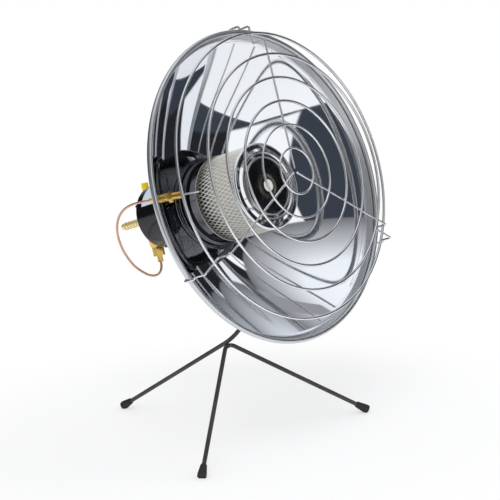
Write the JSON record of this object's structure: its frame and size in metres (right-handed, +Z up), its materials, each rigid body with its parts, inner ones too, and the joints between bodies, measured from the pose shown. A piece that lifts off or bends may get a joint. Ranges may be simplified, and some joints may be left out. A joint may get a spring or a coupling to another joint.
{
  "type": "gas parabolic heater",
  "caption": "Table-top gas heater: a chromed dish with a wire guard and a round mesh burner, a valve in a black housing behind it, and a tripod of bent rods with a tilt hinge.",
  "frame": {"origin": "on the floor, under the middle of the heater's box", "axes": "+Z up, the dish faces -Y and tilts up by 17.1 degrees, +X to the right of someone who looks into the dish along +Y"},
  "size_m": [0.36, 0.3502, 0.4794],
  "materials": {
    "chrome_dish": "mirror-bright chromed sheet",
    "chrome_wire": "bright plated wire",
    "burner_sheet": "satin heat-resistant steel",
    "burner_chrome": "polished steel",
    "emitter": "open expanded metal",
    "dark_disc": "dark polished steel",
    "gasket_fibre": "pressed ceramic fibre",
    "steel": "plated screws and small parts",
    "black_gloss": "gloss black enamel",
    "label_blank": "pale blue-white film with nothing on it",
    "brass_bright": "turned brass",
    "copper": "annealed copper",
    "yellow_plastic": "yellow moulded plastic",
    "rod_black": "dark semi-gloss enamel",
    "rubber_black": "matt black rubber"
  },
  "bodies": {
    "stand": {"stand_rod": "rod_black", "front_left_leg": "rod_black", "front_right_leg": "rod_black", "rear_foot": "rubber_black", "front_left_foot": "rubber_black", "front_right_foot": "rubber_black"},
    "head": {"reflector": "chrome_dish", "guard_ring_1": "chrome_wire", "guard_ring_2": "chrome_wire", "guard_ring_3": "chrome_wire", "guard_ring_4": "chrome_wire", "guard_ring_5": "chrome_wire", "guard_ring_6": "chrome_wire", "guard_spoke_1": "chrome_wire", "guard_spoke_2": "chrome_wire", "guard_spoke_3": "chrome_wire", "burner_base": "burner_sheet", "base_gasket": "gasket_fibre", "mixing_tube": "burner_sheet", "deflector_cone": "burner_sheet", "stud_bridge": "burner_sheet", "emitter_mesh": "emitter", "burner_cap": "burner_chrome", "cap_disc": "dark_disc", "cap_washer": "steel", "cap_screw": "steel", "burner_screws": "steel", "burner_nuts": "steel", "valve_housing": "black_gloss", "housing_rear_cover": "black_gloss", "cover_screws": "steel", "blank_label": "label_blank", "valve_body": "brass_bright", "magnet_unit": "steel", "magnet_nut": "brass_bright", "thermocouple_nut": "brass_bright", "outlet_nipple": "brass_bright", "nipple_lock_nut": "brass_bright", "injector": "brass_bright", "hose_tail": "brass_bright", "button_spring": "steel", "probe_holder": "brass_bright", "probe_inner_nut": "brass_bright", "probe_outer_nut": "brass_bright", "flame_probe": "steel", "thermocouple_lead": "copper", "tilt_bracket": "black_gloss", "bracket_rivets": "black_gloss", "pivot_bolt": "steel", "pivot_washer": "steel"},
    "wing_nut": {"wing_nut": "steel"},
    "button": {"button_cap": "yellow_plastic", "button_stem": "steel"}
  },
  "joints": [
    {"name": "tilt", "type": "hinge", "parent": "stand", "child": "head", "pos_m": [0, 0.01387, 0.21986], "axis": [1, 0, 0], "range_deg": [-45, 18]},
    {"name": "wing_nut_turn", "type": "hinge", "parent": "head", "child": "wing_nut", "pos_m": [0, 0.01387, 0.21986], "axis": [1, 0, 0], "range_deg": [0, 360]},
    {"name": "button_press", "type": "slide", "parent": "head", "child": "button", "axis": [-0.0941, -0.2927, -0.9516], "range_m": [0, 0.005], "stiffness_N_per_m": 800, "springref_m": -0.003, "deforming": ["button_spring"]}
  ]
}
